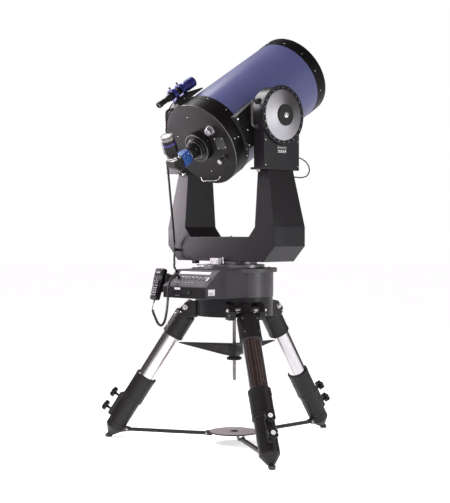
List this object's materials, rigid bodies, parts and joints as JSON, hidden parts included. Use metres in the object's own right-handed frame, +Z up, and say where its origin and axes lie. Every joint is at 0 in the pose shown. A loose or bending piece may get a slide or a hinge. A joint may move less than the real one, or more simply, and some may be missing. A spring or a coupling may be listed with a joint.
{
  "type": "schmidt-cassegrain telescope",
  "caption": "Large blue-tubed Schmidt-Cassegrain telescope in a motorised fork mount with setting circles, finder and handset, on a folding field tripod.",
  "frame": {"origin": "centre of the footprint box on the floor, under the feet", "axes": "+Z up; +Y the way the tube points; the control console faces -Y"},
  "size_m": [1.3534, 1.3213, 2.2387],
  "materials": {
    "black_casting": "satin black enamel on cast aluminium",
    "black_leg": "black powder coat",
    "console_black": "fine-textured moulded black",
    "setting_ring": "black anodised with white graduations",
    "leg_chrome": "polished chrome plate",
    "lever_chrome": "polished",
    "brushed": "spun, fine circular brushing",
    "steel": "ground steel",
    "tray_metal": "satin lacquered, dark edge",
    "tube_blue": "fine-speckle blue enamel",
    "finder_black": "black enamel with blue anodised rings",
    "motor_blue": "bright blue anodised cover",
    "mirror_coat": "aluminised front surface",
    "corrector_glass": "coated clear glass",
    "secondary_black": "matt black",
    "knob_black": "moulded black",
    "handset_black": "moulded black, fine texture",
    "keypad_grey": "soft keys",
    "cord_black": "satin black jacket"
  },
  "bodies": {
    "base": {"tripod_head": "black_casting", "drive_base": "black_casting", "control_console": "console_black", "spreader_rod": "steel", "handset": "handset_black", "handset_holder": "console_black", "handset_cord": "cord_black", "focuser_cord_lower": "cord_black"},
    "azimuth_lock": {"azimuth_lock_lever": "lever_chrome"},
    "keypad_keys": {"keypad": "keypad_grey"},
    "fork": {"azimuth_turntable": "steel", "fork_base": "black_casting", "fork_arm_left": "black_casting", "fork_arm_right": "black_casting", "bearing_housing_left": "black_casting", "bearing_housing_right": "black_casting", "fork_handle_left": "steel", "fork_handle_right": "steel", "altitude_motor_cable": "cord_black", "focuser_cord_upper": "cord_black"},
    "telescope_tube": {"optical_tube": "tube_blue", "rear_cell": "black_casting", "primary_mirror": "mirror_coat", "corrector_cell": "black_casting", "corrector_plate": "corrector_glass", "secondary_holder": "secondary_black", "altitude_bracket_left": "black_casting", "altitude_bracket_right": "black_casting", "setting_circle_right": "setting_ring", "altitude_dial_right": "brushed", "altitude_dial_left": "brushed", "focuser_drum": "black_casting", "focus_motor": "motor_blue", "finder_scope": "finder_black", "finder_bracket": "black_casting"},
    "diagonal": {"star_diagonal": "black_casting", "eyepiece": "black_casting"},
    "focus_control": {"focus_knob": "brushed"},
    "mirror_lock": {"mirror_lock_knob": "brushed"},
    "tray": {"accessory_tray": "tray_metal"},
    "spreader_nut": {"spreader_knob": "knob_black"},
    "spreader": {"spreader_bracket": "black_casting"},
    "leg_right": {"leg_socket_right": "black_leg", "leg_tube_right": "leg_chrome"},
    "lower_leg_right": {"leg_lower_right": "black_leg"},
    "bar_right": {"spreader_bar_right": "black_leg"},
    "clamp_right_upper": {"clamp_knob_right_upper": "knob_black"},
    "clamp_right_lower": {"clamp_knob_right_lower": "knob_black"},
    "leg_back": {"leg_socket_back": "black_leg", "leg_tube_back": "leg_chrome"},
    "lower_leg_back": {"leg_lower_back": "black_leg"},
    "bar_back": {"spreader_bar_back": "black_leg"},
    "clamp_back_upper": {"clamp_knob_back_upper": "knob_black"},
    "clamp_back_lower": {"clamp_knob_back_lower": "knob_black"},
    "leg_left": {"leg_socket_left": "black_leg", "leg_tube_left": "leg_chrome"},
    "lower_leg_left": {"leg_lower_left": "black_leg"},
    "bar_left": {"spreader_bar_left": "black_leg"},
    "clamp_left_upper": {"clamp_knob_left_upper": "knob_black"},
    "clamp_left_lower": {"clamp_knob_left_lower": "knob_black"}
  },
  "joints": [
    {"name": "azimuth_turn", "type": "hinge", "parent": "base", "child": "fork", "pos_m": [0, -0.1065, 0.959], "axis": [0, 0, 1], "range_deg": [-180, 180], "deforming": ["focuser_cord_lower"]},
    {"name": "altitude_turn", "type": "hinge", "parent": "fork", "child": "telescope_tube", "pos_m": [0, -0.1065, 1.7628], "axis": [1, 0, 0], "range_deg": [-36.3, 58.7], "deforming": ["focuser_cord_upper"]},
    {"name": "diagonal_turn", "type": "hinge", "parent": "telescope_tube", "child": "diagonal", "pos_m": [0, -0.50382, 1.52122], "axis": [0, 0.8545, 0.5195], "range_deg": [-80, 80]},
    {"name": "focus_knob_turn", "type": "hinge", "parent": "telescope_tube", "child": "focus_control", "pos_m": [0.135, -0.29988, 1.54574], "axis": [0, 0.8545, 0.5195], "continuous": true},
    {"name": "mirror_lock_turn", "type": "hinge", "parent": "telescope_tube", "child": "mirror_lock", "pos_m": [0.11, -0.38404, 1.68417], "axis": [0, 0.8545, 0.5195], "range_deg": [-120, 120]},
    {"name": "azimuth_lock_turn", "type": "hinge", "parent": "base", "child": "azimuth_lock", "pos_m": [0, -0.3115, 0.959], "axis": [0, 0, 1], "range_deg": [0, 35]},
    {"name": "keypad_press", "type": "slide", "parent": "base", "child": "keypad_keys", "axis": [0, 0.9538, -0.3006], "range_m": [0, 0.0012], "stiffness_N_per_m": 400},
    {"name": "tray_rise", "type": "slide", "parent": "base", "child": "tray", "axis": [0, 0, 1], "range_m": [0, 0.33]},
    {"name": "spreader_drop", "type": "slide", "parent": "base", "child": "spreader_nut", "axis": [0, 0, -1], "range_m": [0, 0.052]},
    {"name": "spreader_turn", "type": "hinge", "parent": "spreader_nut", "child": "spreader", "pos_m": [0, -0.1065, 0.474], "axis": [0, 0, 1], "range_deg": [0, 61]},
    {"name": "leg_fold_right", "type": "hinge", "parent": "base", "child": "leg_right", "pos_m": [0.21651, -0.2315, 0.745], "axis": [0.5, 0.866, 0], "range_deg": [0, 22]},
    {"name": "leg_extend_right", "type": "slide", "parent": "leg_right", "child": "lower_leg_right", "axis": [0.4742, -0.2738, -0.8368], "range_m": [0, 0.12]},
    {"name": "bar_fold_right", "type": "hinge", "parent": "lower_leg_right", "child": "bar_right", "pos_m": [0.5365, -0.41625, 0.049], "axis": [0.5, 0.866, 0], "range_deg": [0, 36]},
    {"name": "clamp_turn_right_upper", "type": "hinge", "parent": "lower_leg_right", "child": "clamp_right_upper", "pos_m": [0.58168, -0.44233, 0.23577], "axis": [0.7247, -0.4184, 0.5476], "continuous": true},
    {"name": "clamp_turn_right_lower", "type": "hinge", "parent": "lower_leg_right", "child": "clamp_right_lower", "pos_m": [0.62484, -0.46725, 0.15962], "axis": [0.7247, -0.4184, 0.5476], "continuous": true},
    {"name": "leg_fold_back", "type": "hinge", "parent": "base", "child": "leg_back", "pos_m": [0, 0.1435, 0.745], "axis": [-1, 0, 0], "range_deg": [0, 22.5]},
    {"name": "leg_extend_back", "type": "slide", "parent": "leg_back", "child": "lower_leg_back", "axis": [0, 0.5476, -0.8368], "range_m": [0, 0.12]},
    {"name": "bar_fold_back", "type": "hinge", "parent": "lower_leg_back", "child": "bar_back", "pos_m": [0, 0.513, 0.049], "axis": [-1, 0, 0], "range_deg": [0, 36]},
    {"name": "clamp_turn_back_upper", "type": "hinge", "parent": "lower_leg_back", "child": "clamp_back_upper", "pos_m": [0, 0.56517, 0.23577], "axis": [0, 0.8368, 0.5476], "continuous": true},
    {"name": "clamp_turn_back_lower", "type": "hinge", "parent": "lower_leg_back", "child": "clamp_back_lower", "pos_m": [0, 0.615, 0.15962], "axis": [0, 0.8368, 0.5476], "continuous": true},
    {"name": "leg_fold_left", "type": "hinge", "parent": "base", "child": "leg_left", "pos_m": [-0.21651, -0.2315, 0.745], "axis": [0.5, -0.866, 0], "range_deg": [0, 22.5]},
    {"name": "leg_extend_left", "type": "slide", "parent": "leg_left", "child": "lower_leg_left", "axis": [-0.4742, -0.2738, -0.8368], "range_m": [0, 0.12]},
    {"name": "bar_fold_left", "type": "hinge", "parent": "lower_leg_left", "child": "bar_left", "pos_m": [-0.5365, -0.41625, 0.049], "axis": [0.5, -0.866, 0], "range_deg": [0, 36]},
    {"name": "clamp_turn_left_upper", "type": "hinge", "parent": "lower_leg_left", "child": "clamp_left_upper", "pos_m": [-0.58168, -0.44233, 0.23577], "axis": [-0.7247, -0.4184, 0.5476], "continuous": true},
    {"name": "clamp_turn_left_lower", "type": "hinge", "parent": "lower_leg_left", "child": "clamp_left_lower", "pos_m": [-0.62484, -0.46725, 0.15962], "axis": [-0.7247, -0.4184, 0.5476], "continuous": true}
  ],
  "couplings": [
    {"joint": "bar_fold_right", "follows": "leg_fold_right", "ratio": 1.6},
    {"joint": "bar_fold_back", "follows": "leg_fold_right", "ratio": 1.6},
    {"joint": "leg_fold_back", "follows": "leg_fold_right", "ratio": 1},
    {"joint": "bar_fold_left", "follows": "leg_fold_right", "ratio": 1.6},
    {"joint": "leg_fold_left", "follows": "leg_fold_right", "ratio": 1},
    {"joint": "tray_rise", "follows": "leg_fold_right", "m_per_rad": 0.84902},
    {"joint": "spreader_drop", "follows": "leg_fold_right", "m_per_rad": 0.13022},
    {"joint": "spreader_turn", "follows": "leg_fold_right", "ratio": 2.7273}
  ]
}
